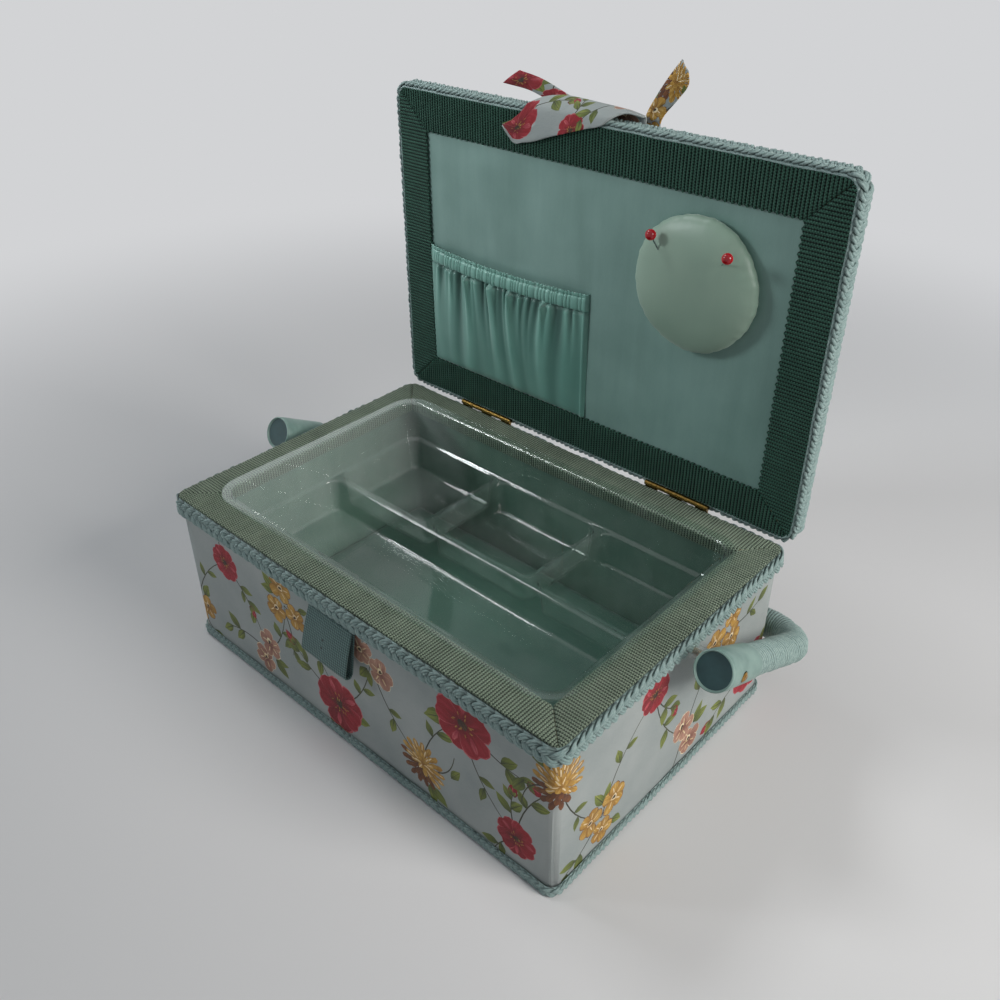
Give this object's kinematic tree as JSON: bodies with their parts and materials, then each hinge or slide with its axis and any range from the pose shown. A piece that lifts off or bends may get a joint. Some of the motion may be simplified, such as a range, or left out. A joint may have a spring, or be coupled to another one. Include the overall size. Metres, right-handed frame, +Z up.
{
  "type": "sewing basket",
  "caption": "Rectangular fabric covered sewing basket with a padded hinged lid, a lid pocket, a pincushion, a bail handle and a clear lift-out tray.",
  "frame": {"origin": "on the table, at the centre of the basket's underside", "axes": "+X along the basket's length, to the right seen from the front; -Y towards the front with its webbing tab; +Z up"},
  "size_m": [0.316, 0.2016, 0.2984],
  "materials": {
    "board": "raw fibreboard",
    "foam": "open foam",
    "base_cloth": "matt cotton",
    "floral_cotton": "printed plain-weave cotton",
    "lid_webbing": "ribbed webbing",
    "rim_webbing": "ribbed webbing",
    "tab_webbing": "fine woven webbing",
    "braid": "plaited cord",
    "cord_wrap": "wound cord",
    "lining_satin": "satin",
    "pocket_satin": "satin",
    "cushion_satin": "satin",
    "handle_plastic": "satin moulded",
    "clear_plastic": "clear, glossy",
    "hinge_brass": "bright",
    "screw_brass": "dull",
    "pin_steel": "bright",
    "red_glass": "glossy bead"
  },
  "bodies": {
    "basket": {"base_board": "board", "base_braid": "braid", "base_cover": "base_cloth", "base_pad": "lining_satin", "basket_hinge_leaf_left": "hinge_brass", "basket_hinge_leaf_right": "hinge_brass", "front_tab": "tab_webbing", "hinge_pin_left": "hinge_brass", "hinge_pin_right": "hinge_brass", "lining": "lining_satin", "outer_cover": "floral_cotton", "pivot_screw_left": "screw_brass", "pivot_screw_right": "screw_brass", "pivot_spacer_left": "clear_plastic", "pivot_spacer_right": "clear_plastic", "rim_braid": "braid", "rim_frame": "board", "rim_webbing_back": "rim_webbing", "rim_webbing_front": "rim_webbing", "rim_webbing_left": "rim_webbing", "rim_webbing_right": "rim_webbing", "wall_back": "board", "wall_front": "board", "wall_left": "board", "wall_right": "board"},
    "lid": {"bow_knot": "floral_cotton", "bow_loop_inner": "floral_cotton", "bow_loop_outer": "floral_cotton", "bow_tail_left": "floral_cotton", "bow_tail_right": "floral_cotton", "lid_board": "board", "lid_braid": "braid", "lid_cover": "floral_cotton", "lid_hinge_leaf_left": "hinge_brass", "lid_hinge_leaf_right": "hinge_brass", "lid_lining": "lining_satin", "lid_padding": "foam", "lid_webbing_front": "lid_webbing", "lid_webbing_hinge": "lid_webbing", "lid_webbing_left": "lid_webbing", "lid_webbing_right": "lid_webbing", "pincushion": "cushion_satin", "pocket": "pocket_satin"},
    "handle": {"handle_cap_left": "handle_plastic", "handle_cap_right": "handle_plastic", "handle_core": "handle_plastic", "handle_wrap": "cord_wrap"},
    "tray": {"tray": "clear_plastic"},
    "pin_1": {"pin_1_head": "red_glass", "pin_1_shaft": "pin_steel"},
    "pin_2": {"pin_2_head": "red_glass", "pin_2_shaft": "pin_steel"}
  },
  "joints": [
    {"name": "lid_hinge", "type": "hinge", "parent": "basket", "child": "lid", "pos_m": [0, 0.0861, 0.0956], "axis": [-1, 0, 0], "range_deg": [-90, 0]},
    {"name": "handle_swing", "type": "hinge", "parent": "basket", "child": "handle", "pos_m": [0, 0.005, 0.0835], "axis": [1, 0, 0], "range_deg": [0, 26]},
    {"name": "tray_lift", "type": "slide", "parent": "basket", "child": "tray", "axis": [0, 0, 1], "range_m": [0, 0.07]},
    {"name": "pin_1_pull", "type": "slide", "parent": "lid", "child": "pin_1", "axis": [-0.2505, -0.4409, 0.8619], "range_m": [0, 0.018]},
    {"name": "pin_2_pull", "type": "slide", "parent": "lid", "child": "pin_2", "axis": [0.5594, -0.5394, 0.6293], "range_m": [0, 0.018]}
  ]
}
